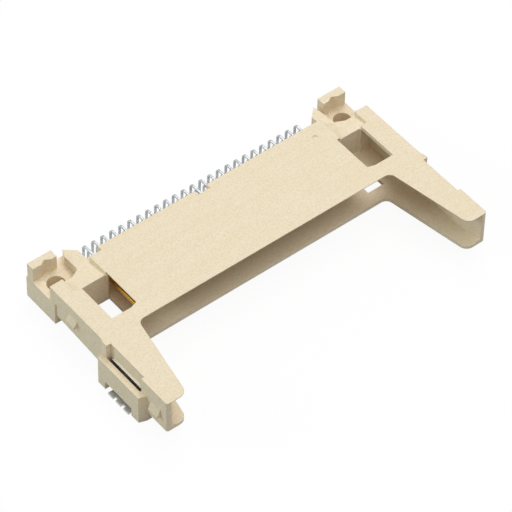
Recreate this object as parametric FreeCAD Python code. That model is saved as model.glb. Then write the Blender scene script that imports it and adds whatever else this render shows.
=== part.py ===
import FreeCAD, Part
import math
import os

os.makedirs("parts", exist_ok=True)
V = FreeCAD.Vector

# Surface-mount header for a flash memory card: one moulded housing with a U-shaped card
# guide, two rows of contacts and a steel board lock at each arm.
# X runs along the rows, +Y is the way the card goes in, +Z is up from the circuit board.
# Working places in Y are measured from the front edge of the header bar.

# Pin field, and the card that goes over it
COLUMNS = 25
PITCH = 1.27
ROW_GAP = 1.27
CARD_MARGIN = 6.16
CARD_THICKNESS = 3.3
CARD_SIDE_PLAY = 0.1
CARD_FACE_PLAY = 0.15

# Housing: plates, arms and the way in for the card; the top plate is bevelled underneath to a thin edge
STAND_OFF = 1.5
TOP_PLATE = 0.55
BOTTOM_PLATE = 0.55
BOTTOM_PLATE_SETBACK = 0.3
ARM_WALL = 1.2
ARM_LENGTH = 11.3
ARM_WIDTH_AT_BAR = 4.75
ARM_WIDTH_AT_TIP = 2.7
ARM_TIP_RADIUS = 1.1
ARM_ROOT_RADIUS = 0.9
OUTER_CORNER_RADIUS = 0.3
LEAD_IN_LENGTH = 3.0
LEAD_IN_FLARE = 0.6
LEAD_IN_RELIEF = 0.2
TOP_EDGE = 0.1

# Cavity behind the mouth, and the wall that holds the contacts
CARD_STOP_Y = 7.75
WELL_STEP = 1.25
WELL_MARGIN = 0.96
PIN_WALL = 2.4

# Windows over the card's corners: one in the top plate and a smaller one in the bottom plate
WINDOW_FRONT_Y = 2.0
WINDOW_GAP = 0.3
WINDOW_RIM = 2.65
WINDOW_CORNER_X = 0.9
WINDOW_CORNER_Y = 0.3
LOWER_WINDOW_GAP = 0.2
LOWER_WINDOW_RIM = 3.75
POST_RADIUS = 0.2

# Lowered, sloping shoulders beside the raised middle of the bar
SHOULDER_RIM = 1.75
SHOULDER_DROP_FRONT = 0.35
SHOULDER_DROP_REAR = 1.0

# Room for the tails between the ears
BAY_MARGIN = 1.56
BAY_OFFSET = 0.2
BAY_CHAMFER = 1.25

# Raised middle: notches in its rear top edge, at the left end and the middle, and a gate mark
EDGE_NOTCH_DEPTH = 0.7
EDGE_NOTCH_HEIGHT = 0.9
EDGE_NOTCH_WIDTH = 1.7
EDGE_NOTCH_INSET = 0.8
EDGE_NOTCH_MIDDLE = -0.45
GATE_MARK_X = 14.75
GATE_MARK_INSET = 1.9
GATE_MARK_RADIUS = 0.35
GATE_MARK_DEPTH = 0.08

# Ears with the board holes and their nut seats
EAR_REACH = 2.75
EAR_ROOT = 2.6
EAR_OFFSET = -0.29
EAR_INSET = 0.12
EAR_FOOT_Z = 1.0
HOLE_RADIUS = 1.09
HOLE_INSET = 2.12
HOLE_TO_REAR = 2.87
NUT_CORNER_RADIUS = 2.15
POCKET_FLOOR_Z = 4.2
POCKET_WIDTH = 4.3
POCKET_TO_HOLE = 1.38
POCKET_CHAMFER_X = 1.2
POCKET_CHAMFER_Y = 0.65
BLOCK_DEPTH = 1.12
BLOCK_INSET = 0.18
BLOCK_WIDTH = 3.24
BOSS_WALL = 0.31

# Underside of the arms, relieved between the anchor box and the ear
RELIEF_FRONT_Z = 1.85
RELIEF_REAR_Z = 2.45
RELIEF_DEPTH = 0.6

# Anchor boxes outside the arms, each with a slot for a board lock
ANCHOR_OUT = 0.92
ANCHOR_REAR_Y = -0.1
ANCHOR_LENGTH = 7.3
ANCHOR_SPLAY = 0.32
ANCHOR_TOP_Z = 4.15
ANCHOR_INNER_WALL = 0.5
SLOT_END_WALL = 0.65
SLOT_OUT = 0.18
NOTCH_DEPTH = 0.4
TAB_GAP_HEIGHT = 1.2
TAB_GAP_FOOT = 1.3

# Pads behind the anchor boxes, and ramps on the outer side of each arm:
# rear place, length, drop below the top and height
PAD_PROUD = 0.2
PAD_FLAT = 0.5
PAD_LENGTH = 1.2
RAMP_PROUD = 0.5
RAMP_LIP = 0.2
RAMPS = ((6.4, 1.6, 1.3, 0.95), (-8.55, 1.6, 2.0, 1.15))

# Board lock: a plate in the anchor slot and a flange on the board with solder tabs
LOCK_THICKNESS = 0.2
LOCK_END_PLAY = 0.2
LOCK_PROUD = 0.05
LOCK_TOP_RADIUS = 0.6
LOCK_TABS = 3
TAB_PITCH = 1.38
TAB_WIDTH = 0.9
TAB_THICKNESS = 0.3
TAB_OFFSET = 0.25
FLANGE_OUT = 0.8
TAB_OUT = 1.15

# Contacts
PIN_DIAMETER = 0.44
PIN_FLATS = 8
PIN_TIP_LENGTH = 0.35
PIN_TIP_DIAMETER = 0.2
POWER_PIN_LENGTH = 5.0
SIGNAL_PIN_LENGTH = 4.25
DETECT_PIN_LENGTH = 3.5
POWER_COLUMNS = {1: (13, 25), -1: (1, 13)}
DETECT_COLUMNS = {1: (1,), -1: (25,)}
BARB_WIDTH = 0.5
BARB_HEIGHT = 0.4
TAIL_WIDTH = 0.3
TAIL_THICKNESS = 0.2
TAIL_BEND_RADIUS = 0.4
BEND_CHORDS = 3
TAIL_REACH = 2.4
FOOT_LENGTH = 1.2
JOG_START = 0.25
JOG_LENGTH = 1.0

# Values worked out from the sizes above
FIELD_HALF = (COLUMNS - 1) * PITCH / 2
CHANNEL_HALF = FIELD_HALF + CARD_MARGIN + CARD_SIDE_PLAY
BODY_HALF = CHANNEL_HALF + ARM_WALL
CHANNEL_BOTTOM = STAND_OFF + BOTTOM_PLATE
CHANNEL_TOP = CHANNEL_BOTTOM + CARD_THICKNESS + 2 * CARD_FACE_PLAY
CARD_MID_Z = (CHANNEL_BOTTOM + CHANNEL_TOP) / 2
TOP_Z = CHANNEL_TOP + TOP_PLATE
ARM_INNER_AT_BAR = BODY_HALF - ARM_WIDTH_AT_BAR
ARM_INNER_AT_TIP = BODY_HALF - ARM_WIDTH_AT_TIP
WELL_HALF = FIELD_HALF + WELL_MARGIN
PIN_WALL_Y = CARD_STOP_Y + WELL_STEP
BAR_DEPTH = PIN_WALL_Y + PIN_WALL
WINDOW_INNER = WELL_HALF + WINDOW_GAP
WINDOW_OUTER = BODY_HALF - WINDOW_RIM
SHOULDER_OUTER = BODY_HALF - SHOULDER_RIM
BAY_LEFT = BAY_OFFSET - FIELD_HALF - BAY_MARGIN
BAY_RIGHT = BAY_OFFSET + FIELD_HALF + BAY_MARGIN
EAR_FRONT_Y = BAR_DEPTH - EAR_ROOT
EAR_REAR_Y = BAR_DEPTH + EAR_REACH
EAR_HALF = BODY_HALF - EAR_INSET
HOLE_SPACING = 2 * (BODY_HALF - HOLE_INSET)
HOLE_Y = EAR_REAR_Y - HOLE_TO_REAR
POCKET_INNER = BODY_HALF - POCKET_WIDTH
POCKET_FRONT_Y = HOLE_Y - POCKET_TO_HOLE
BLOCK_FRONT_Y = EAR_REAR_Y - BLOCK_DEPTH
ANCHOR_FRONT_Y = ANCHOR_REAR_Y - ANCHOR_LENGTH
SLOT_REAR_Y = ANCHOR_REAR_Y - SLOT_END_WALL
SLOT_FRONT_Y = ANCHOR_FRONT_Y + SLOT_END_WALL
SLOT_INNER = BODY_HALF - NOTCH_DEPTH
LEG_Y = BAR_DEPTH + TAIL_REACH
FOOT_TIP_Y = LEG_Y + FOOT_LENGTH
SHIFT_Y = (ARM_LENGTH - FOOT_TIP_Y) / 2
TOP_CHAMFER = TOP_PLATE - TOP_EDGE
BITE = ARM_WALL / 2
OVER = 1.0
TOLERANCE = 1e-6


def box(x0, x1, y0, y1, z0, z1):
    """Block between two corners given in any order."""
    low = V(min(x0, x1), min(y0, y1), min(z0, z1))
    return Part.makeBox(abs(x1 - x0), abs(y1 - y0), abs(z1 - z0), low)


def carried(points, travel):
    """Solid that a closed outline sweeps along a straight line, with its faces outwards."""
    solid = Part.Face(Part.makePolygon(points + points[:1])).extrude(travel)
    if solid.Volume < 0:
        solid.reverse()
    return solid


def plan_prism(points, z0, z1):
    """Outline in X and Y raised from z0 to z1."""
    return carried([V(x, y, z0) for x, y in points], V(0, 0, z1 - z0))


def side_prism(points, x0, x1):
    """Outline in Y and Z carried from x0 to x1."""
    return carried([V(x0, y, z) for y, z in points], V(x1 - x0, 0, 0))


def front_prism(points, y0, y1):
    """Outline in X and Z carried from y0 to y1."""
    return carried([V(x, y0, z) for x, z in points], V(0, y1 - y0, 0))


def upright(x, y, radius, z0, z1):
    """Upright cylinder."""
    return Part.makeCylinder(radius, z1 - z0, V(x, y, z0))


def mirrored(points, side):
    """Points given for the right side, moved to the side asked for."""
    return [(side * x, other) for x, other in points]


def round_uprights(shape, places, radius):
    """Round the upright edges that stand at the given plan points."""
    edges = []
    for edge in shape.Edges:
        a, b = edge.Vertexes[0].Point, edge.Vertexes[-1].Point
        level = math.hypot(a.x - b.x, a.y - b.y) < TOLERANCE
        if level and any(math.hypot(a.x - x, a.y - y) < 1e-3 for x, y in places):
            edges.append(edge)
    return shape.makeFillet(radius, edges)


def guide_frame(front_y, z0, z1):
    """Bar and arms as one U-shaped slab with rounded corners, its bar starting at front_y."""
    outline = [
        (-BODY_HALF, -ARM_LENGTH), (-ARM_INNER_AT_TIP, -ARM_LENGTH), (-ARM_INNER_AT_BAR, front_y),
        (ARM_INNER_AT_BAR, front_y), (ARM_INNER_AT_TIP, -ARM_LENGTH), (BODY_HALF, -ARM_LENGTH),
        (BODY_HALF, BAR_DEPTH), (-BODY_HALF, BAR_DEPTH),
    ]
    slab = plan_prism(outline, z0, z1)
    slab = round_uprights(slab, [outline[1], outline[4]], ARM_TIP_RADIUS)
    slab = round_uprights(slab, [outline[2], outline[3]], ARM_ROOT_RADIUS)
    return round_uprights(slab, [outline[0], outline[5]], OUTER_CORNER_RADIUS)


def top_plate():
    """Top of the bar and arms, bevelled underneath along the whole mouth but not over the arms' walls."""
    plate = guide_frame(0, CHANNEL_TOP, TOP_Z)
    mouth = []
    for edge in plate.Edges:
        middle = edge.CenterOfMass
        under = abs(middle.z - CHANNEL_TOP) < TOLERANCE and edge.BoundBox.ZLength < TOLERANCE
        if under and abs(middle.x) < BODY_HALF - OUTER_CORNER_RADIUS and middle.y < BITE:
            mouth.append(edge)
    bevelled = plate.makeChamfer(TOP_CHAMFER, mouth)
    walls = []
    for side in (-1, 1):
        wall = box(side * (CHANNEL_HALF + LEAD_IN_FLARE), side * BODY_HALF,
                   -ARM_LENGTH, BAR_DEPTH, CHANNEL_TOP, TOP_Z)
        walls.append(plate.common(wall))
    return bevelled.fuse(walls)


def card_channel():
    """Room for the card: channel, flared mouth and the deeper well round the pins."""
    beyond = -ARM_LENGTH - OVER
    throat = -ARM_LENGTH + LEAD_IN_LENGTH
    channel = box(-CHANNEL_HALF, CHANNEL_HALF, beyond, CARD_STOP_Y, CHANNEL_BOTTOM, CHANNEL_TOP)
    well = box(-WELL_HALF, WELL_HALF, 0, PIN_WALL_Y, CHANNEL_BOTTOM, CHANNEL_TOP)
    mouth = []
    for side in (-1, 1):
        flare = [
            (CHANNEL_HALF - BITE, throat), (CHANNEL_HALF, throat),
            (CHANNEL_HALF + LEAD_IN_FLARE, -ARM_LENGTH),
            (CHANNEL_HALF + LEAD_IN_FLARE, beyond), (CHANNEL_HALF - BITE, beyond),
        ]
        mouth.append(plan_prism(mirrored(flare, side), CHANNEL_BOTTOM, CHANNEL_TOP))
        low = CHANNEL_BOTTOM - LEAD_IN_RELIEF
        relief = [(throat, CHANNEL_BOTTOM), (-ARM_LENGTH, low), (beyond, low), (beyond, CHANNEL_BOTTOM)]
        mouth.append(side_prism(relief, side * (ARM_INNER_AT_BAR - OVER), side * CHANNEL_HALF))
    return channel.fuse([well] + mouth)


def windows():
    """Openings over the card's corners, in the top plate and in the bottom plate."""
    cuts = []
    for side in (-1, 1):
        upper = [
            (WINDOW_INNER, CARD_STOP_Y), (WINDOW_OUTER, CARD_STOP_Y), (WINDOW_OUTER, WINDOW_FRONT_Y),
            (WINDOW_INNER + WINDOW_CORNER_X, WINDOW_FRONT_Y),
            (WINDOW_INNER, WINDOW_FRONT_Y + WINDOW_CORNER_Y),
        ]
        cuts.append(plan_prism(mirrored(upper, side), CARD_MID_Z, TOP_Z + OVER))
        bevel = [
            (WINDOW_INNER, TOP_Z - TOP_EDGE), (WINDOW_INNER - TOP_CHAMFER, CHANNEL_TOP),
            (WINDOW_INNER, CHANNEL_TOP),
        ]
        cuts.append(front_prism(mirrored(bevel, side), WINDOW_FRONT_Y + WINDOW_CORNER_Y, CARD_STOP_Y))
        inner = BAY_OFFSET + side * (WELL_HALF + LOWER_WINDOW_GAP)
        cuts.append(box(inner, side * (BODY_HALF - LOWER_WINDOW_RIM), WINDOW_FRONT_Y, CARD_STOP_Y,
                        STAND_OFF - OVER, CARD_MID_Z))
    return cuts


def corner_posts():
    """Quarter-round posts in the rear corners of the windows."""
    top = TOP_Z - SHOULDER_DROP_FRONT
    places = [side * x for side in (-1, 1) for x in (WINDOW_INNER, WINDOW_OUTER)]
    return [upright(x, CARD_STOP_Y, POST_RADIUS, CHANNEL_BOTTOM, top) for x in places]


def shoulder_slope(y_end):
    """Side view of what is removed above a shoulder, back to a place along Y."""
    fall = (SHOULDER_DROP_REAR - SHOULDER_DROP_FRONT) / (EAR_REAR_Y - CARD_STOP_Y)
    front_z = TOP_Z - SHOULDER_DROP_FRONT
    return [
        (CARD_STOP_Y, front_z), (y_end, front_z - fall * (y_end - CARD_STOP_Y)),
        (y_end, TOP_Z + OVER), (CARD_STOP_Y, TOP_Z + OVER),
    ]


def shoulders():
    """Wedges removed above the sloping shoulders; the ears' rear blocks keep their height."""
    cuts = []
    for side, bay in ((-1, BAY_LEFT), (1, BAY_RIGHT)):
        cuts.append(side_prism(shoulder_slope(EAR_REAR_Y + OVER), bay, side * POCKET_INNER))
        cuts.append(side_prism(shoulder_slope(BLOCK_FRONT_Y), side * POCKET_INNER, side * SHOULDER_OUTER))
    return cuts


def hole_x(side):
    """Place of a board hole along X."""
    return EAR_OFFSET + side * HOLE_SPACING / 2


def ear_blocks(side):
    """Solid stock of one ear: base, inner block, outer rear block and the boss to the board."""
    bay = BAY_LEFT if side < 0 else BAY_RIGHT
    outer = EAR_OFFSET + side * EAR_HALF
    bay_side = [(bay, EAR_FRONT_Y), (bay, EAR_REAR_Y - BAY_CHAMFER), (bay + side * BAY_CHAMFER, EAR_REAR_Y)]
    base = plan_prism(bay_side + [(outer, EAR_REAR_Y), (outer, EAR_FRONT_Y)], EAR_FOOT_Z, POCKET_FLOOR_Z)
    pocket_side = [(side * POCKET_INNER, BLOCK_FRONT_Y), (side * POCKET_INNER, EAR_FRONT_Y)]
    raised = plan_prism(bay_side + pocket_side, POCKET_FLOOR_Z, TOP_Z)
    block_outer = outer - side * BLOCK_INSET
    block = box(block_outer - side * BLOCK_WIDTH, block_outer,
                BLOCK_FRONT_Y, EAR_REAR_Y, POCKET_FLOOR_Z, TOP_Z)
    boss = upright(hole_x(side), HOLE_Y, HOLE_RADIUS + BOSS_WALL, 0, EAR_FOOT_Z)
    return [base, raised, block, boss]


def ear_cuts(side):
    """Pocket, nut seat and board hole of one ear."""
    x = hole_x(side)
    pocket = [
        (POCKET_INNER, POCKET_FRONT_Y + POCKET_CHAMFER_Y), (POCKET_INNER + POCKET_CHAMFER_X, POCKET_FRONT_Y),
        (BODY_HALF + OVER, POCKET_FRONT_Y), (BODY_HALF + OVER, BLOCK_FRONT_Y), (POCKET_INNER, BLOCK_FRONT_Y),
    ]
    flat = NUT_CORNER_RADIUS * math.cos(math.radians(30))
    shoulder_y = HOLE_Y + NUT_CORNER_RADIUS / 2
    nut_seat = [
        (x - flat, HOLE_Y), (x + flat, HOLE_Y), (x + flat, shoulder_y),
        (x, HOLE_Y + NUT_CORNER_RADIUS), (x - flat, shoulder_y),
    ]
    return [
        plan_prism(mirrored(pocket, side), POCKET_FLOOR_Z, TOP_Z + OVER),
        plan_prism(nut_seat, POCKET_FLOOR_Z, TOP_Z + OVER),
        upright(x, HOLE_Y, HOLE_RADIUS, -OVER, TOP_Z + OVER),
    ]


def anchor_box(side):
    """Trapezoidal box outside one arm that reaches down to the board, and the pad behind it."""
    face = BODY_HALF + ANCHOR_OUT
    front, rear = ANCHOR_FRONT_Y - ANCHOR_SPLAY, ANCHOR_REAR_Y + ANCHOR_SPLAY
    plan = [
        (SLOT_INNER, rear), (BODY_HALF, rear), (face, ANCHOR_REAR_Y),
        (face, ANCHOR_FRONT_Y), (BODY_HALF, front), (SLOT_INNER, front),
    ]
    outer = plan_prism(mirrored(plan, side), 0, ANCHOR_TOP_Z)
    inner = box(side * (SLOT_INNER - ANCHOR_INNER_WALL), side * SLOT_INNER, front, rear, 0, CHANNEL_BOTTOM)
    pad = [
        (BODY_HALF - BITE, SLOT_REAR_Y), (BODY_HALF + PAD_PROUD, SLOT_REAR_Y),
        (BODY_HALF + PAD_PROUD, SLOT_REAR_Y + PAD_FLAT), (BODY_HALF, SLOT_REAR_Y + PAD_LENGTH),
        (BODY_HALF - BITE, SLOT_REAR_Y + PAD_LENGTH),
    ]
    return [outer, inner, plan_prism(mirrored(pad, side), ANCHOR_TOP_Z - BITE, TOP_Z)]


def anchor_cuts(side):
    """Lock slot with the notch in the arm above it, and the gap under the outer wall for the tabs."""
    slot = box(side * SLOT_INNER, side * (BODY_HALF + SLOT_OUT),
               SLOT_FRONT_Y, SLOT_REAR_Y, -OVER, TOP_Z + OVER)
    gap = box(side * SLOT_INNER, side * (BODY_HALF + ANCHOR_OUT + OVER), ANCHOR_FRONT_Y + TAB_GAP_FOOT,
              ANCHOR_REAR_Y - TAB_GAP_FOOT, -OVER, TAB_GAP_HEIGHT)
    return [slot, gap]


def arm_ramps(side):
    """Small ramps on the outer side of one arm, rising outwards towards the board."""
    stock = []
    for rear, length, drop, height in RAMPS:
        high = TOP_Z - drop
        low = high - height
        section = [
            (BODY_HALF - BITE, high), (BODY_HALF, high), (BODY_HALF + RAMP_PROUD, low + RAMP_LIP),
            (BODY_HALF + RAMP_PROUD, low), (BODY_HALF - BITE, low),
        ]
        stock.append(front_prism(mirrored(section, side), rear - length, rear))
    return stock


def arm_relief(side):
    """Sloping relief along the outer bottom edge of one arm."""
    profile = [
        (ANCHOR_REAR_Y + ANCHOR_SPLAY, STAND_OFF - OVER), (ANCHOR_REAR_Y + ANCHOR_SPLAY, RELIEF_FRONT_Z),
        (EAR_FRONT_Y, RELIEF_REAR_Z), (EAR_FRONT_Y, STAND_OFF - OVER),
    ]
    return side_prism(profile, side * (BODY_HALF - RELIEF_DEPTH), side * (BODY_HALF + OVER))


def column_x(column):
    """Place of a contact column along X, counted from 1 at the left."""
    return (column - 1) * PITCH - FIELD_HALF


def row_z(row):
    """Height of a contact row: 1 is the upper row and -1 the lower row."""
    return CARD_MID_Z + row * ROW_GAP / 2


def barb(column, row, y0, y1):
    """Square part of a contact, or the passage that holds it, from y0 to y1."""
    x, z = column_x(column), row_z(row)
    return box(x - BARB_WIDTH / 2, x + BARB_WIDTH / 2, y0, y1, z - BARB_HEIGHT / 2, z + BARB_HEIGHT / 2)


def passages():
    """Straight holes that hold the contacts in the pin wall."""
    return [barb(column, row, PIN_WALL_Y - OVER, BAR_DEPTH + OVER)
            for row in (-1, 1) for column in range(1, COLUMNS + 1)]


def edge_marks():
    """Shallow notches along the rear top edge of the raised middle, and the gate mark."""
    cuts = [upright(GATE_MARK_X, BAR_DEPTH - GATE_MARK_INSET, GATE_MARK_RADIUS,
                    TOP_Z - GATE_MARK_DEPTH, TOP_Z + OVER)]
    for centre in (BAY_LEFT + EDGE_NOTCH_INSET, EDGE_NOTCH_MIDDLE):
        cuts.append(box(centre - EDGE_NOTCH_WIDTH / 2, centre + EDGE_NOTCH_WIDTH / 2,
                        BAR_DEPTH - EDGE_NOTCH_DEPTH, BAR_DEPTH + OVER,
                        TOP_Z - EDGE_NOTCH_HEIGHT, TOP_Z + OVER))
    return cuts


def housing():
    """The moulded housing: guide frame, ears and anchor boxes less their openings."""
    stock = [
        top_plate(), guide_frame(0, CARD_MID_Z, CHANNEL_TOP),
        guide_frame(BOTTOM_PLATE_SETBACK, STAND_OFF, CARD_MID_Z),
    ]
    for side in (-1, 1):
        stock += ear_blocks(side) + anchor_box(side) + arm_ramps(side)
    solid = stock[0].fuse(stock[1:])
    behind = box(BAY_LEFT, BAY_RIGHT, BAR_DEPTH, EAR_REAR_Y + OVER, STAND_OFF - OVER, TOP_Z + OVER)
    cuts = [card_channel(), behind] + windows() + shoulders() + passages() + edge_marks()
    for side in (-1, 1):
        cuts += ear_cuts(side) + anchor_cuts(side) + [arm_relief(side)]
    return solid.cut(cuts).fuse(corner_posts()).removeSplitter()


def bend(y, z, radius, start, stop):
    """Points of a round bend in Y and Z, from one angle to another in degrees."""
    turns = [math.radians(start + (stop - start) * k / BEND_CHORDS) for k in range(BEND_CHORDS + 1)]
    return [(y + radius * math.cos(turn), z + radius * math.sin(turn)) for turn in turns]


def tail(x, y0, level):
    """Flat tail: straight back, down at the leg and back again along the board."""
    half = TAIL_THICKNESS / 2
    inner, outer = TAIL_BEND_RADIUS, TAIL_BEND_RADIUS + TAIL_THICKNESS
    knee = (LEG_Y - half - inner, level - half - inner)
    heel = (LEG_Y + half + inner, TAIL_THICKNESS + inner)
    profile = [(y0, level + half)] + bend(*knee, outer, 90, 0) + bend(*heel, inner, 180, 270)
    profile += [(FOOT_TIP_Y, TAIL_THICKNESS), (FOOT_TIP_Y, 0)]
    profile += bend(*heel, outer, 270, 180) + bend(*knee, inner, 0, 90) + [(y0, level - half)]
    return side_prism(profile, x - TAIL_WIDTH / 2, x + TAIL_WIDTH / 2)


def pin_outline(x, y, z, width):
    """Coined pin's section at a place along Y, with the given width across its flats."""
    corner = width / 2 / math.cos(math.pi / PIN_FLATS)
    turns = [2 * math.pi * (k + 0.5) / PIN_FLATS for k in range(PIN_FLATS)]
    points = [V(x + corner * math.cos(turn), y, z + corner * math.sin(turn)) for turn in turns]
    return Part.makePolygon(points + points[:1])


def mating_pin(x, z, length):
    """Mating pin with a tapered tip, from the pin wall towards the card."""
    tip_y = PIN_WALL_Y - length
    shank = pin_outline(x, tip_y + PIN_TIP_LENGTH, z, PIN_DIAMETER)
    taper = Part.makeLoft([pin_outline(x, tip_y, z, PIN_TIP_DIAMETER), shank], True, True)
    return [taper, Part.Face(shank).extrude(V(0, length - PIN_TIP_LENGTH, 0))]


def contact(column, row):
    """One contact: coined mating pin, square barb in the wall and a flat bent tail."""
    x, z = column_x(column), row_z(row)
    length = SIGNAL_PIN_LENGTH
    if column in POWER_COLUMNS[row]:
        length = POWER_PIN_LENGTH
    elif column in DETECT_COLUMNS[row]:
        length = DETECT_PIN_LENGTH
    pieces = mating_pin(x, z, length)
    if row > 0:
        pieces.append(tail(x, BAR_DEPTH, z))
    else:
        half, moved = TAIL_WIDTH / 2, x + PITCH / 2
        start, end = BAR_DEPTH + JOG_START, BAR_DEPTH + JOG_START + JOG_LENGTH
        jog = [
            (x - half, BAR_DEPTH), (x + half, BAR_DEPTH), (x + half, start),
            (moved + half, end), (moved - half, end), (x - half, start),
        ]
        pieces += [plan_prism(jog, z - TAIL_THICKNESS / 2, z + TAIL_THICKNESS / 2), tail(moved, end, z)]
    return barb(column, row, PIN_WALL_Y, BAR_DEPTH).fuse(pieces).removeSplitter()


def board_lock(side):
    """Steel plate that stands in the anchor slot, with a flange and solder tabs on the board."""
    front, rear = SLOT_FRONT_Y + LOCK_END_PLAY, SLOT_REAR_Y - LOCK_END_PLAY
    top = ANCHOR_TOP_Z + LOCK_PROUD
    outer = SLOT_INNER + LOCK_THICKNESS
    plate = box(side * SLOT_INNER, side * outer, front, rear, 0, top)
    upper = [e for e in plate.Edges
             if abs(e.CenterOfMass.z - top) < TOLERANCE and abs(e.Length - LOCK_THICKNESS) < TOLERANCE]
    plate = plate.makeFillet(LOCK_TOP_RADIUS, upper)
    middle = (front + rear) / 2 - TAB_OFFSET
    places = [middle + (k - (LOCK_TABS - 1) / 2) * TAB_PITCH for k in range(LOCK_TABS)]
    pieces = [box(side * SLOT_INNER, side * (BODY_HALF + FLANGE_OUT), places[0] - TAB_WIDTH / 2,
                  places[-1] + TAB_WIDTH / 4, 0, TAB_THICKNESS)]
    for y in places:
        pieces.append(box(side * outer, side * (BODY_HALF + TAB_OUT), y - TAB_WIDTH / 2, y + TAB_WIDTH / 2,
                          0, TAB_THICKNESS))
    return plate.fuse(pieces).removeSplitter()


def save(name, shape):
    """Write one piece with the frame's origin under the middle of the whole part."""
    placed = shape.copy()
    placed.translate(V(0, SHIFT_Y, 0))
    if not placed.isValid():
        raise ValueError("invalid shape: " + name)
    placed.exportStep("parts/" + name + ".step")
    bounds = placed.BoundBox
    print(name, len(placed.Solids), round(placed.Volume, 3),
          [round(v, 2) for v in (bounds.XMin, bounds.XMax, bounds.YMin, bounds.YMax,
                                 bounds.ZMin, bounds.ZMax)])


save("housing", housing())
save("board_lock_left", board_lock(-1))
save("board_lock_right", board_lock(1))
for column in range(1, COLUMNS + 1):
    save("contact_upper_%02d" % column, contact(column, 1))
    save("contact_lower_%02d" % column, contact(column, -1))
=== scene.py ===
"""Looks of a surface-mount header for a flash memory card.

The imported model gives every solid. This script dresses it: a matte moulded housing, contacts with gold
mating pins and tin-plated tails, and tin-plated steel board locks, on a white table in soft light.
"""

import logging
import math
from dataclasses import dataclass, field
from enum import Enum
from typing import Any

import bmesh
import bpy
from mathutils import Matrix, Quaternion, Vector

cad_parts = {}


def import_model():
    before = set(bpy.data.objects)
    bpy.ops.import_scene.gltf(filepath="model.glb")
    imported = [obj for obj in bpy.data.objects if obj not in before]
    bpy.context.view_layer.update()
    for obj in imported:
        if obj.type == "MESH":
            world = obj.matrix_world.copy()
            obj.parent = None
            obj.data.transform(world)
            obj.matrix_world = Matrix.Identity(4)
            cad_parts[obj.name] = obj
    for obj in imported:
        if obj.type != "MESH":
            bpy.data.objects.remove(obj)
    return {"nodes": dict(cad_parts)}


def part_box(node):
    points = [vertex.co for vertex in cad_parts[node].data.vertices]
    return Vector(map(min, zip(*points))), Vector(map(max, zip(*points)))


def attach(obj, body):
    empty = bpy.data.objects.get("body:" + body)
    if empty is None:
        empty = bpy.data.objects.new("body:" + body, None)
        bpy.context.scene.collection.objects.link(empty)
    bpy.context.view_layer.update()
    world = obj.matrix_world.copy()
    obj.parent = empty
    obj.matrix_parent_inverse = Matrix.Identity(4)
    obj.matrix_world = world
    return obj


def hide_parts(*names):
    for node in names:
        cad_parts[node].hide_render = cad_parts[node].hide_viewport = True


LOG = logging.getLogger("card_header")
MM = 0.001
Triple = tuple[float, float, float]
WHITE = (1.0, 1.0, 1.0, 1.0)
UPRIGHT = (0.0, 0.0, 1.0)

# The curve from screen values to linear ones.
SRGB_KNEE, SRGB_SLOPE, SRGB_OFFSET, SRGB_POWER = 0.04045, 12.92, 0.055, 2.4

# Numbers of the sockets that share a name within their node.
MIX_FACTOR, MIX_FIRST, MIX_SECOND, MIX_RESULT = 0, 6, 7, 2
COMPARE_FIRST, COMPARE_SECOND = 2, 3

NOISE_MIDDLE = 0.5
BEVEL_SAMPLES = 8
CORNER_CHORDS = 2


def linear(hex_code: str) -> tuple[float, float, float, float]:
    """Turn a screen colour into the linear values that shaders take.

    Args:
        hex_code: Six hexadecimal digits, red first.

    Returns:
        Linear red, green, blue and an alpha of one.
    """
    parts = [int(hex_code[k:k + 2], 16) / 255 for k in (0, 2, 4)]
    red, green, blue = (
        p / SRGB_SLOPE if p <= SRGB_KNEE else ((p + SRGB_OFFSET) / (1 + SRGB_OFFSET)) ** SRGB_POWER
        for p in parts
    )
    return (red, green, blue, 1.0)


class Signal:
    """A shader socket that takes part in Python expressions and adds its own Math nodes."""

    def __init__(self, tree: "ShaderTree", socket: bpy.types.NodeSocket) -> None:
        """Wrap one output socket.

        Args:
            tree: The tree that the socket belongs to.
            socket: The output socket.
        """
        self.tree = tree
        self.socket = socket

    def _math(self, operation: str, first: Any, second: Any) -> "Signal":
        """Add one Math node for two values and return its output."""
        return self.tree.node("ShaderNodeMath", {"operation": operation}, {0: first, 1: second})

    def __add__(self, other: Any) -> "Signal":
        """Sum with a value or a signal."""
        return self._math("ADD", self, other)

    def __radd__(self, other: Any) -> "Signal":
        """Sum with this signal on the right."""
        return self._math("ADD", other, self)

    def __sub__(self, other: Any) -> "Signal":
        """Difference with a value or a signal."""
        return self._math("SUBTRACT", self, other)

    def __rsub__(self, other: Any) -> "Signal":
        """Difference with this signal taken away."""
        return self._math("SUBTRACT", other, self)

    def __mul__(self, other: Any) -> "Signal":
        """Product with a value or a signal."""
        return self._math("MULTIPLY", self, other)

    def above(self, edge: float, softness: float) -> "Signal":
        """Rise smoothly from nought to one about an edge.

        Args:
            edge: Value at which the result is a half.
            softness: Width of the rise.

        Returns:
            A mask between nought and one.
        """
        inputs = {"Value": self, "From Min": edge - softness / 2, "From Max": edge + softness / 2}
        return self.tree.node("ShaderNodeMapRange", {"interpolation_type": "SMOOTHSTEP"}, inputs)


def add_node(tree: bpy.types.NodeTree, kind: str, settings: dict[str, Any],
             inputs: dict[Any, Any]) -> bpy.types.Node:
    """Add one node to a shader or geometry tree, set it up and link it.

    Args:
        tree: The tree.
        kind: The node's type name.
        settings: Properties that are set before the sockets.
        inputs: Values, signals or output sockets by socket name or number.

    Returns:
        The node.
    """
    made = tree.nodes.new(kind)
    for key, value in settings.items():
        setattr(made, key, value)
    for key, value in inputs.items():
        source = value.socket if isinstance(value, Signal) else value
        if isinstance(source, bpy.types.NodeSocket):
            tree.links.new(source, made.inputs[key])
        else:
            made.inputs[key].default_value = source
    return made


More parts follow.
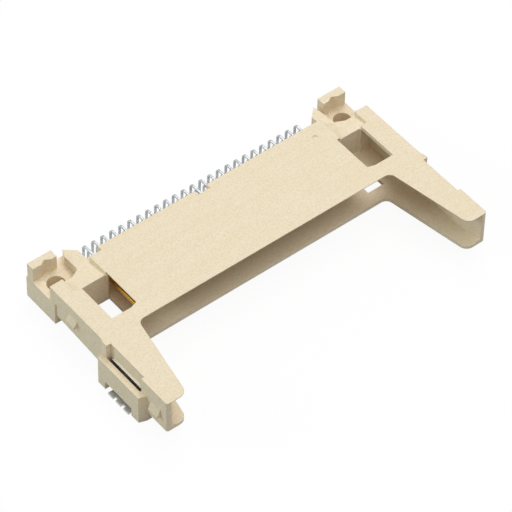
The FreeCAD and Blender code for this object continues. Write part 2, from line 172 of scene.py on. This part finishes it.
@dataclass(frozen=True)
class Blotches:
    """Noise of a real size, and how it is cut into a mask.

    The size is the rough width of one blotch in metres. The octaves and their roughness set the finer
    parts, and the stretch draws the blotches out along the axes. The mask rises about the edge, over
    the softness, from nought to the share.
    """

    size: float
    share: float
    octaves: float = 3.0
    rough: float = 0.5
    stretch: Triple = (1.0, 1.0, 1.0)
    edge: float = 0.5
    softness: float = 0.3

    def mask(self, noise: Signal) -> Signal:
        """Return the noise cut into the mask."""
        return noise.above(self.edge, self.softness) * self.share


class ShaderTree:
    """Adds nodes to one shader tree, of a material or of the world."""

    def __init__(self, owner: bpy.types.Material | bpy.types.World) -> None:
        """Start with an empty tree.

        Args:
            owner: The material or world that the tree belongs to.
        """
        owner.use_nodes = True
        self.owner = owner
        self.tree = owner.node_tree
        self.tree.nodes.clear()

    def node(self, kind: str, settings: dict[str, Any], inputs: dict[Any, Any],
             output: Any = 0) -> Signal:
        """Add one node, set it up and link it.

        Args:
            kind: The node's type name.
            settings: Properties that are set before the sockets.
            inputs: Values or signals by socket name or number.
            output: Name or number of the output that is wanted.

        Returns:
            The chosen output as a signal.
        """
        return Signal(self, add_node(self.tree, kind, settings, inputs).outputs[output])

    def place(self, stretch: Triple = (1.0, 1.0, 1.0)) -> Signal:
        """Return the object's own coordinates in metres, drawn out along each axis by a factor."""
        own = self.node("ShaderNodeTexCoord", {}, {}, "Object")
        scale = tuple(1.0 / part for part in stretch)
        return self.node("ShaderNodeMapping", {}, {"Vector": own, "Scale": scale})

    def axis(self, letter: str) -> Signal:
        """Return one object coordinate in metres."""
        return self.node("ShaderNodeSeparateXYZ", {}, {0: self.place()}, letter)

    def noise(self, blotches: Blotches) -> Signal:
        """Add a noise texture.

        Args:
            blotches: Its size and finer parts.

        Returns:
            The noise value between nought and one.
        """
        inputs = {
            "Vector": self.place(blotches.stretch), "Scale": 1.0 / blotches.size,
            "Detail": blotches.octaves, "Roughness": blotches.rough,
        }
        return self.node("ShaderNodeTexNoise", {}, inputs, "Fac")

    def mix(self, factor: Any, first: Any, second: Any) -> Signal:
        """Mix two colours.

        Args:
            factor: Share of the second colour.
            first: Colour or signal at nought.
            second: Colour or signal at one.

        Returns:
            The mixed colour.
        """
        inputs = {MIX_FACTOR: factor, MIX_FIRST: first, MIX_SECOND: second}
        return self.node("ShaderNodeMix", {"data_type": "RGBA"}, inputs, MIX_RESULT)

    def rounded_edges(self, radius: float) -> Signal:
        """Return a normal that rounds the edges within a radius in metres."""
        return self.node("ShaderNodeBevel", {"samples": BEVEL_SAMPLES}, {"Radius": radius})

    def bump(self, height: Signal, distance: float, normal: Signal) -> Signal:
        """Turn a height into a normal.

        Args:
            height: Height between nought and one.
            distance: Real height of one, in metres.
            normal: Normal to start from.

        Returns:
            The changed normal.
        """
        inputs = {"Height": height, "Distance": distance, "Normal": normal}
        return self.node("ShaderNodeBump", {}, inputs)

    def output(self, kind: str, surface: Signal) -> None:
        """Link a shader to the tree's output node.

        Args:
            kind: Type name of the output node.
            surface: The shader.
        """
        add_node(self.tree, kind, {}, {"Surface": surface})

    def principled(self, sockets: dict[str, Any]) -> bpy.types.Material:
        """Finish a material with the Principled shader.

        Args:
            sockets: Values or signals of the shader.

        Returns:
            The material.
        """
        self.output("ShaderNodeOutputMaterial", self.node("ShaderNodeBsdfPrincipled", {}, sockets))
        return self.owner


@dataclass(frozen=True)
class MouldedResin:
    """Cream glass-filled resin: fine speckle, faint flow streaks along the bar and softened edges."""

    name: str = "cream_resin"
    colour: str = "EFDEC1"
    pale: str = "F4E6D2"
    deep: str = "E2CFAD"
    streaks: Blotches = Blotches(0.7 * MM, 0.4, rough=0.6, stretch=(14.0, 1.0, 1.0))
    mottle: Blotches = Blotches(1.2 * MM, 0.15, rough=0.6, edge=0.55)
    speckle: Blotches = Blotches(0.24 * MM, 0.68, rough=0.65, edge=0.54, softness=0.22)
    edge_radius: float = 0.09 * MM
    grain_height: float = 0.008 * MM
    roughness: float = 0.6
    roughness_swing: float = 0.2
    specular: float = 0.3

    def build(self) -> bpy.types.Material:
        """Build the resin and return it."""
        tree = ShaderTree(bpy.data.materials.new(self.name))
        streaks, mottle, grain = (tree.noise(b) for b in (self.streaks, self.mottle, self.speckle))
        deep = linear(self.deep)
        base = tree.mix(self.streaks.mask(streaks), linear(self.colour), linear(self.pale))
        warm = tree.mix(self.mottle.mask(mottle), base, deep)
        return tree.principled({
            "Base Color": tree.mix(self.speckle.mask(grain), warm, deep),
            "Roughness": self.roughness + (grain - NOISE_MIDDLE) * self.roughness_swing,
            "Specular IOR Level": self.specular,
            "Normal": tree.bump(grain, self.grain_height, tree.rounded_edges(self.edge_radius)),
        })


@dataclass(frozen=True)
class ContactPlating:
    """Copper alloy with a gold-plated pin in front and a tin-plated tail behind."""

    name: str = "contact_plating"
    gold: str = "E8B757"
    tin: str = "C0C4C5"
    tin_dull: str = "94989A"
    change_y: float = 8.0 * MM
    change_width: float = 0.4 * MM
    haze: Blotches = Blotches(0.25 * MM, 0.7, softness=0.4)
    roughness: float = 0.34
    tail_gloss: float = 0.02
    haze_roughness: float = 0.12

    def build(self) -> bpy.types.Material:
        """Build the plating and return it."""
        tree = ShaderTree(bpy.data.materials.new(self.name))
        tail = tree.axis("Y").above(self.change_y, self.change_width)
        haze = tree.noise(self.haze)
        tin = tree.mix(self.haze.mask(haze), linear(self.tin), linear(self.tin_dull))
        return tree.principled({
            "Base Color": tree.mix(tail, linear(self.gold), tin),
            "Metallic": 1.0,
            "Roughness": self.roughness - tail * self.tail_gloss + haze * self.haze_roughness,
        })


@dataclass(frozen=True)
class LockSteel:
    """Tin-plated steel strip of the board locks: matte, with tabs painted lighter than the strip as
    painted light and a near-white painted highlight along the top edge.
    """

    name: str = "lock_steel"
    colour: str = "9FA09B"
    dull: str = "7F807B"
    # Painted light: the tabs at the bottom are painted lighter than the rest of the same steel strip.
    painted_light_tab: str = "C8C8C2"
    tab_z: float = 0.35 * MM
    # Painted highlight: the strip above this height, its top edge, is painted near white.
    painted_top_highlight: str = "F2F3F1"
    painted_highlight_z: float = 4.05 * MM
    change_width: float = 0.1 * MM
    haze: Blotches = Blotches(0.4 * MM, 0.7, softness=0.4)
    edge_radius: float = 0.05 * MM
    roughness: float = 0.55
    plate_gloss: float = 0.13
    haze_roughness: float = 0.14

    def build(self) -> bpy.types.Material:
        """Build the steel and return it."""
        tree = ShaderTree(bpy.data.materials.new(self.name))
        haze = tree.noise(self.haze)
        matte = tree.mix(self.haze.mask(haze), linear(self.colour), linear(self.dull))
        height = tree.axis("Z")
        # Masks by height: the tabs below the tab height take the lighter painted-light colour, and the
        # top edge takes the near-white painted highlight.
        plate = height.above(self.tab_z, self.change_width)
        painted_top_highlight = height.above(self.painted_highlight_z, self.change_width)
        strip_with_painted_tabs = tree.mix(plate, linear(self.painted_light_tab), matte)
        return tree.principled({
            "Base Color": tree.mix(painted_top_highlight, strip_with_painted_tabs, linear(self.painted_top_highlight)),
            "Metallic": 1.0,
            "Roughness": self.roughness - plate * self.plate_gloss + haze * self.haze_roughness,
            "Normal": tree.rounded_edges(self.edge_radius),
        })


def dress(piece: bpy.types.Object, material: bpy.types.Material) -> None:
    """Give an object one material.

    Args:
        piece: The object.
        material: Its only material.
    """
    piece.data.materials.clear()
    piece.data.materials.append(material)


def new_object(name: str, data: bpy.types.ID | None) -> bpy.types.Object:
    """Put a new object into the scene.

    Args:
        name: Its name.
        data: Its mesh, lamp or camera.

    Returns:
        The object.
    """
    made = bpy.data.objects.new(name, data)
    bpy.context.scene.collection.objects.link(made)
    return made


@dataclass(frozen=True)
class Lamp:
    """Square lamp that faces the part: its place and side in metres, its power in watts."""

    name: str
    place: Triple
    side: float
    power: float
    tint: Triple

    def build(self) -> None:
        """Hang the lamp."""
        data = bpy.data.lights.new(self.name, "AREA")
        data.shape = "SQUARE"
        data.size = self.side
        data.energy = self.power
        data.color = self.tint
        lamp = new_object(self.name, data)
        lamp.location = self.place
        lamp.rotation_mode = "QUATERNION"
        lamp.rotation_quaternion = (-Vector(self.place)).to_track_quat("-Z", "Y")


@dataclass(frozen=True)
class Studio:
    """White table, soft lamps and the camera of the catalogue view."""

    azimuth: float = -39.517
    elevation: float = 48.46
    roll: float = 1.297
    distance: float = 377.55 * MM
    focal: float = 238.29
    aim: Triple = (-1.481 * MM, -1.810 * MM, 5.393 * MM)
    clip_start: float = 0.01
    clip_end: float = 10.0
    table_size: float = 1.2
    table_tone: float = 0.44
    shadow_share: float = 0.06
    sky_light: float = 0.36
    sky_tint: Triple = (0.95, 1.0, 1.0)
    lamps: tuple[Lamp, ...] = (
        Lamp("key_lamp", (0.2, 0.16, 0.54), 0.32, 1.48, (1.0, 0.97, 0.96)),
        Lamp("fill_lamp", (-0.5, 0.42, 0.28), 0.25, 1.45, (0.84, 1.0, 0.99)),
        Lamp("front_lamp", (0.0, -0.24, 0.6), 0.45, 0.95, (1.0, 0.99, 0.98)),
    )

    def camera(self) -> None:
        """Place the camera at the photograph's angle."""
        side, height, turn = (math.radians(a) for a in (self.azimuth, self.elevation, self.roll))
        flat = math.cos(height)
        back = Vector((math.sin(side) * flat, -math.cos(side) * flat, math.sin(height)))
        right = Vector(UPRIGHT).cross(back).normalized()
        up = back.cross(right)
        turned_right = right * math.cos(turn) + up * math.sin(turn)
        turned_up = up * math.cos(turn) - right * math.sin(turn)
        data = bpy.data.cameras.new("catalogue_camera")
        data.lens = self.focal
        data.clip_start = self.clip_start
        data.clip_end = self.clip_end
        place = Matrix((turned_right, turned_up, back)).transposed().to_4x4()
        place.translation = Vector(self.aim) + back * self.distance
        camera = new_object("catalogue_camera", data)
        camera.matrix_world = place
        bpy.context.scene.camera = camera

    def seen_directly(self, tree: ShaderTree) -> Signal:
        """Tell rays from the camera, mirrors and glass from the light on the part.

        Args:
            tree: The tree that takes the nodes.

        Returns:
            One for such rays, and nought for the others.
        """
        path = add_node(tree.tree, "ShaderNodeLightPath", {}, {})
        names = ("Is Camera Ray", "Is Glossy Ray", "Is Transmission Ray")
        camera, glossy, through = (Signal(tree, path.outputs[name]) for name in names)
        return tree.node("ShaderNodeClamp", {}, {"Value": camera + glossy + through})

    def table(self) -> None:
        """Lay the white table under the part: seen from below it is clear."""
        half = self.table_size / 2
        corners = [(-half, -half, 0), (half, -half, 0), (half, half, 0), (-half, half, 0)]
        mesh = bpy.data.meshes.new("table")
        mesh.from_pydata(corners, [], [(0, 1, 2, 3)])
        table = new_object("table", mesh)
        tree = ShaderTree(bpy.data.materials.new("white_table"))
        seen = self.seen_directly(tree)
        tone = tree.mix(seen, (self.table_tone,) * 3 + (1.0,), WHITE)
        matte = tree.node("ShaderNodeBsdfDiffuse", {}, {"Color": tone})
        white = tree.node("ShaderNodeEmission", {}, {"Color": WHITE, "Strength": 1.0})
        share = seen * (1 - self.shadow_share)
        top = tree.node("ShaderNodeMixShader", {}, {0: share, 1: matte, 2: white})
        clear = tree.node("ShaderNodeBsdfTransparent", {}, {})
        below = tree.node("ShaderNodeNewGeometry", {}, {}, "Backfacing")
        surface = tree.node("ShaderNodeMixShader", {}, {0: below, 1: top, 2: clear})
        tree.output("ShaderNodeOutputMaterial", surface)
        dress(table, tree.owner)

    def sky(self) -> None:
        """Set a white sky that lights the part with less than it shows."""
        world = bpy.data.worlds.new("pale_sky")
        tree = ShaderTree(world)
        seen = self.seen_directly(tree)
        colour = tree.mix(seen, self.sky_tint + (1.0,), WHITE)
        strength = self.sky_light + seen * (1 - self.sky_light)
        background = tree.node("ShaderNodeBackground", {}, {"Color": colour, "Strength": strength})
        tree.output("ShaderNodeOutputWorld", background)
        bpy.context.scene.world = world

    def build(self) -> None:
        """Build the table, the sky, the lamps and the camera."""
        self.table()
        self.sky()
        for lamp in self.lamps:
            lamp.build()
        self.camera()


class Row(Enum):
    """The two contact rows, by the word in their nodes' names."""

    UPPER = "upper"
    LOWER = "lower"


def rounded_path(corners: list[Vector], radius: float, steps: int) -> list[Vector]:
    """Round the corners of a path with arcs.

    Args:
        corners: The path's corners.
        radius: Radius of every arc.
        steps: Number of chords of one arc.

    Returns:
        The points of the rounded path.
    """
    points = [corners[0]]
    for before, corner, after in zip(corners, corners[1:], corners[2:]):
        come, leave = (corner - before).normalized(), (after - corner).normalized()
        turn = come.angle(leave)
        reach = radius * math.tan(turn / 2)
        centre = corner - come * reach + (leave - come * come.dot(leave)).normalized() * radius
        start = corner - come * reach - centre
        spin = come.cross(leave).normalized()
        points += [centre + Quaternion(spin, turn * k / steps) @ start for k in range(steps + 1)]
    return points + [corners[-1]]


def skin_rings(made: bmesh.types.BMesh, rings: list[list[bmesh.types.BMVert]]) -> None:
    """Join rings of equal length with faces and close both ends.

    Args:
        made: Mesh that holds the rings.
        rings: The rings' points, ring by ring.
    """
    for first, second in zip(rings, rings[1:]):
        for k in range(len(first)):
            n = (k + 1) % len(first)
            made.faces.new((first[k], first[n], second[n], second[k]))
    made.faces.new(rings[0])
    made.faces.new(list(reversed(rings[-1])))


def swept_strip(made: bmesh.types.BMesh, path: list[Vector], width: float, thickness: float,
                corner: float) -> None:
    """Carry a rounded oblong section along a path, with its thickness upright at the start.

    Args:
        made: Mesh that takes the strip.
        path: Points of the path.
        width: Width of the strip.
        thickness: Thickness of the strip.
        corner: Radius of the section's corners.
    """
    section = []
    for quarter, (sx, sz) in enumerate(((1, 1), (-1, 1), (-1, -1), (1, -1))):
        for k in range(CORNER_CHORDS + 1):
            turn = math.radians(90 * (quarter + k / CORNER_CHORDS))
            section.append((sx * (width / 2 - corner) + corner * math.cos(turn),
                            sz * (thickness / 2 - corner) + corner * math.sin(turn)))
    chords = [(b - a).normalized() for a, b in zip(path, path[1:])]
    middles = [(a + b).normalized() for a, b in zip(chords, chords[1:])]
    tangents = [chords[0]] + middles + [chords[-1]]
    rise = Vector(UPRIGHT)
    rings = []
    for k, (point, tangent) in enumerate(zip(path, tangents)):
        if k:
            rise = tangents[k - 1].rotation_difference(tangent) @ rise
        across = tangent.cross(rise)
        rings.append([made.verts.new(point + across * x + rise * z) for x, z in section])
    skin_rings(made, rings)


def turned_rod(made: bmesh.types.BMesh, centre: Vector, profile: list[tuple[float, float]],
               sides: int) -> None:
    """Turn a profile round an axis along Y.

    Args:
        made: Mesh that takes the rod.
        centre: Where the axis starts.
        profile: Distance along the axis and radius of each ring.
        sides: Number of points in a ring.
    """
    turns = [2 * math.pi * k / sides for k in range(sides)]
    rings = []
    for along, radius in profile:
        points = [Vector((radius * math.cos(t), along, radius * math.sin(t))) for t in turns]
        rings.append([made.verts.new(centre + point) for point in points])
    skin_rings(made, rings)


def finished_mesh(made: bmesh.types.BMesh, name: str, sharp_angle: float = 35.0) -> bpy.types.Mesh:
    """Turn a working mesh into a smooth-shaded one with outward faces.

    Args:
        made: The working mesh, which is freed.
        name: Name of the new mesh.
        sharp_angle: Edges that turn by more degrees stay sharp.

    Returns:
        The mesh.
    """
    bmesh.ops.recalc_face_normals(made, faces=made.faces)
    mesh = bpy.data.meshes.new(name)
    made.to_mesh(mesh)
    made.free()
    mesh.shade_smooth()
    mesh.set_sharp_from_angle(angle=math.radians(sharp_angle))
    return mesh


class RepeatTree:
    """Geometry Nodes tree that sets tails and pins along one row."""

    INPUTS = (
        ("Tail", "NodeSocketObject"), ("Pin", "NodeSocketObject"), ("Material", "NodeSocketMaterial"),
        ("Count", "NodeSocketInt"), ("Pitch", "NodeSocketFloat"), ("First Long Pin", "NodeSocketInt"),
        ("Second Long Pin", "NodeSocketInt"), ("Short Pin", "NodeSocketInt"),
        ("Length Step", "NodeSocketFloat"),
    )

    def __init__(self) -> None:
        """Build the tree."""
        self.group = bpy.data.node_groups.new("contact_row", "GeometryNodeTree")
        self.sockets: dict[str, str] = {}
        for name, kind in self.INPUTS:
            socket = self.group.interface.new_socket(name, in_out="INPUT", socket_type=kind)
            self.sockets[name] = socket.identifier
        self.group.interface.new_socket("Geometry", in_out="OUTPUT", socket_type="NodeSocketGeometry")
        self.build()

    def add(self, kind: str, inputs: dict[Any, Any], output: Any = 0) -> bpy.types.NodeSocket:
        """Add one node and link it.

        Args:
            kind: The node's type name.
            inputs: Values or output sockets by socket name or number.
            output: Name or number of the output that is wanted.

        Returns:
            The chosen output.
        """
        return add_node(self.group, kind, {}, inputs).outputs[output]

    def equals(self, index: bpy.types.NodeSocket, number: bpy.types.NodeSocket) -> bpy.types.NodeSocket:
        """Return one where the index is the number, and nought elsewhere."""
        settings = {"data_type": "INT", "operation": "EQUAL"}
        inputs = {COMPARE_FIRST: index, COMPARE_SECOND: number}
        return add_node(self.group, "FunctionNodeCompare", settings, inputs).outputs[0]

    def math(self, operation: str, first: Any, second: Any) -> bpy.types.NodeSocket:
        """Add one Math node and return its output."""
        settings, inputs = {"operation": operation}, {0: first, 1: second}
        return add_node(self.group, "ShaderNodeMath", settings, inputs).outputs[0]

    def build(self) -> None:
        """Set tails along a line, and pins along one that moves with each pin's length."""
        given = add_node(self.group, "NodeGroupInput", {}, {}).outputs
        step = self.add("ShaderNodeCombineXYZ", {"X": given["Pitch"]})
        line = self.add("GeometryNodeMeshLine", {"Count": given["Count"], "Offset": step})
        index = self.add("GeometryNodeInputIndex", {})
        long_pins = self.math("ADD", self.equals(index, given["First Long Pin"]),
                              self.equals(index, given["Second Long Pin"]))
        shorter = self.math("SUBTRACT", self.equals(index, given["Short Pin"]), long_pins)
        shift = self.math("MULTIPLY", self.math("ADD", shorter, 1.0), given["Length Step"])
        back = self.add("ShaderNodeCombineXYZ", {"Y": shift})
        pin_line = self.add("GeometryNodeSetPosition", {"Geometry": line, "Offset": back})
        joined = add_node(self.group, "GeometryNodeJoinGeometry", {}, {})
        for name, points in (("Tail", line), ("Pin", pin_line)):
            shape = self.add("GeometryNodeObjectInfo", {"Object": given[name]}, "Geometry")
            placed = self.add("GeometryNodeInstanceOnPoints", {"Points": points, "Instance": shape})
            self.group.links.new(placed, joined.inputs[0])
        real = self.add("GeometryNodeRealizeInstances", {0: joined.outputs[0]})
        dressed = self.add("GeometryNodeSetMaterial", {"Geometry": real, "Material": given["Material"]})
        add_node(self.group, "NodeGroupOutput", {}, {0: dressed})

    def run(self, piece: bpy.types.Object, values: dict[str, Any]) -> None:
        """Run the tree on an object and keep the result as its plain mesh.

        Args:
            piece: The object.
            values: Value of each named input.
        """
        modifier = piece.modifiers.new("row", "NODES")
        modifier.node_group = self.group
        for name, value in values.items():
            modifier[self.sockets[name]] = value
        graph = bpy.context.evaluated_depsgraph_get()
        mesh = bpy.data.meshes.new_from_object(piece.evaluated_get(graph))
        piece.modifiers.clear()
        piece.data = mesh


@dataclass
class ContactRow:
    """One row of contacts: round mating pins, square barbs in the wall and flat bent tails.

    The last six fields are places in metres that measure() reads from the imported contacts.
    """

    row: Row
    columns: int = 25
    tail_width: float = 0.3 * MM
    tail_thickness: float = 0.2 * MM
    tail_corner: float = 0.045 * MM
    bend_radius: float = 0.52 * MM
    bend_steps: int = 8
    tail_reach: float = 2.4 * MM
    foot_length: float = 1.2 * MM
    jog_start: float = 0.25 * MM
    jog_length: float = 1.0 * MM
    wall: float = 2.4 * MM
    barb_width: float = 0.5 * MM
    barb_height: float = 0.4 * MM
    pin_radius: float = 0.22 * MM
    tip_radius: float = 0.1 * MM
    tip_length: float = 0.35 * MM
    tip_round: float = 0.05 * MM
    long_pin: float = 5.0 * MM
    length_step: float = 0.75 * MM
    sides: int = 24
    pitch: float = field(init=False)
    x: float = field(init=False)
    foot_tip: float = field(init=False)
    leg: float = field(init=False)
    rear: float = field(init=False)
    level: float = field(init=False)

    @property
    def name(self) -> str:
        """Start of this row's node names."""
        return "contact_" + self.row.value

    @property
    def nodes(self) -> list[str]:
        """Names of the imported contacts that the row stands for."""
        return ["%s_%02d" % (self.name, k + 1) for k in range(self.columns)]

    def measure(self) -> None:
        """Read the row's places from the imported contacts."""
        low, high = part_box(self.nodes[1])
        first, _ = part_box(self.nodes[0])
        self.pitch = low[0] - first[0]
        self.x = first[0] + self.barb_width / 2
        self.foot_tip = high[1]
        self.leg = high[1] - self.foot_length
        self.rear = self.leg - self.tail_reach
        barb_over_strip = (self.barb_height - self.tail_thickness) / 2
        self.level = high[2] - self.tail_thickness / 2 - barb_over_strip

    def tail(self) -> bpy.types.Mesh:
        """Build the first column's barb and tail and return the mesh."""
        low = self.tail_thickness / 2
        start = self.rear - self.barb_height
        corners = [Vector((self.x, start, self.level))]
        moved = self.x
        if self.row is Row.LOWER:
            moved += self.pitch / 2
            corners.append(Vector((self.x, self.rear + self.jog_start, self.level)))
            corners.append(Vector((moved, self.rear + self.jog_start + self.jog_length, self.level)))
        corners += [Vector((moved, self.leg, self.level)), Vector((moved, self.leg, low)),
                    Vector((moved, self.foot_tip, low))]
        made = bmesh.new()
        path = rounded_path(corners, self.bend_radius, self.bend_steps)
        swept_strip(made, path, self.tail_width, self.tail_thickness, self.tail_corner)
        barb = [Vector((self.x, y, self.level)) for y in (self.rear - self.wall, self.rear)]
        swept_strip(made, barb, self.barb_width, self.barb_height, self.tail_corner)
        return finished_mesh(made, self.name + "_tail")

    def pin(self) -> bpy.types.Mesh:
        """Build the first column's pin at its longest and return the mesh."""
        tip = self.rear - self.wall - self.long_pin
        profile = [
            (0.0, self.tip_radius - self.tip_round), (self.tip_round, self.tip_radius),
            (self.tip_length, self.pin_radius), (self.long_pin + self.tip_length, self.pin_radius),
        ]
        made = bmesh.new()
        turned_rod(made, Vector((self.x, tip, self.level)), profile, self.sides)
        return finished_mesh(made, self.name + "_pin")

    def build(self, tree: RepeatTree, material: bpy.types.Material) -> bpy.types.Object:
        """Build the whole row as one piece that stands for its packed contacts.

        Args:
            tree: The tree that repeats the shapes.
            material: The plating.

        Returns:
            The row.
        """
        self.measure()
        tail = new_object(self.name + "_tail", self.tail())
        pin = new_object(self.name + "_pin", self.pin())
        row = new_object(self.name + "_row", bpy.data.meshes.new(self.name + "_row"))
        middle, last = self.columns // 2, self.columns - 1
        other_long, short = (last, 0) if self.row is Row.UPPER else (0, last)
        tree.run(row, {
            "Tail": tail, "Pin": pin, "Material": material, "Count": self.columns,
            "Pitch": self.pitch, "First Long Pin": middle, "Second Long Pin": other_long,
            "Short Pin": short, "Length Step": self.length_step,
        })
        for helper in (tail, pin):
            bpy.data.objects.remove(helper)
        # Realize Instances leaves an empty slot before the plating's, so the slots are set again.
        dress(row, material)
        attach(row, "root")
        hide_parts(*self.nodes)
        return row


@dataclass
class CardHeader:
    """The connector: housing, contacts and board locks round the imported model."""

    nodes: dict[str, bpy.types.Object]
    resin: MouldedResin = MouldedResin()
    plating: ContactPlating = ContactPlating()
    steel: LockSteel = LockSteel()

    def build(self) -> list[bpy.types.Object]:
        """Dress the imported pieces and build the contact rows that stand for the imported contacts.

        Returns:
            The pieces that are seen.
        """
        resin, plating, steel = self.resin.build(), self.plating.build(), self.steel.build()
        seen = []
        for name, piece in self.nodes.items():
            if name.startswith("contact"):
                dress(piece, plating)
                continue
            dress(piece, steel if name.startswith("board_lock") else resin)
            seen.append(piece)
        tree = RepeatTree()
        return seen + [ContactRow(row).build(tree, plating) for row in Row]


def main(frame: dict[str, Any]) -> None:
    """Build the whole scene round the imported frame.
    """
    logging.basicConfig(level=logging.INFO, format="%(name)s: %(message)s")
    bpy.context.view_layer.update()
    for piece in CardHeader(frame["nodes"]).build():
        LOG.info("built %s in %s", piece.name, piece.data.materials[0].name)
    Studio().build()
    LOG.info("built the studio")
    bpy.context.scene.view_settings.view_transform = "Standard"


if __name__ == "__main__":
    main(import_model())
